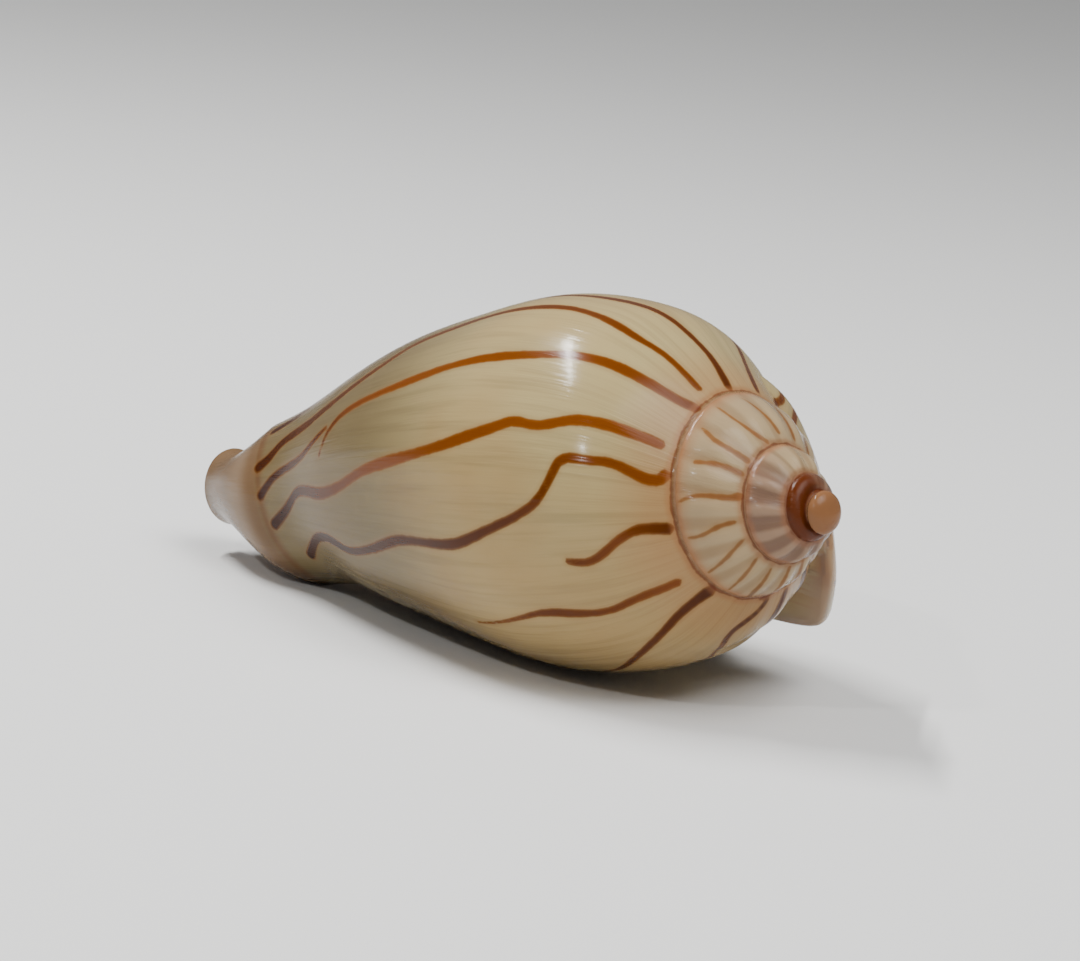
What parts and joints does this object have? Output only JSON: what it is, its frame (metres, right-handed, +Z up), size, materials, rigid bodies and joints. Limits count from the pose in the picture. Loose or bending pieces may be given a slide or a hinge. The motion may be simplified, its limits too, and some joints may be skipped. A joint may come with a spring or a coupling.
{
  "type": "volute seashell",
  "caption": "Small empty spiral sea snail shell, egg shaped with a short ribbed spire, flared lip and long aperture, cream with wavy brown stripes.",
  "frame": {"origin": "centre of the bounding box on the surface that the shell lies on", "axes": "+X along the length toward the apex, +Z up, the aperture faces down and the outer lip is on the +Y side"},
  "size_m": [0.0456, 0.0234, 0.02],
  "materials": {
    "shell": "glossy, cream with brown stripes"
  },
  "bodies": {
    "root": {"shell": "shell"}
  },
  "joints": []
}
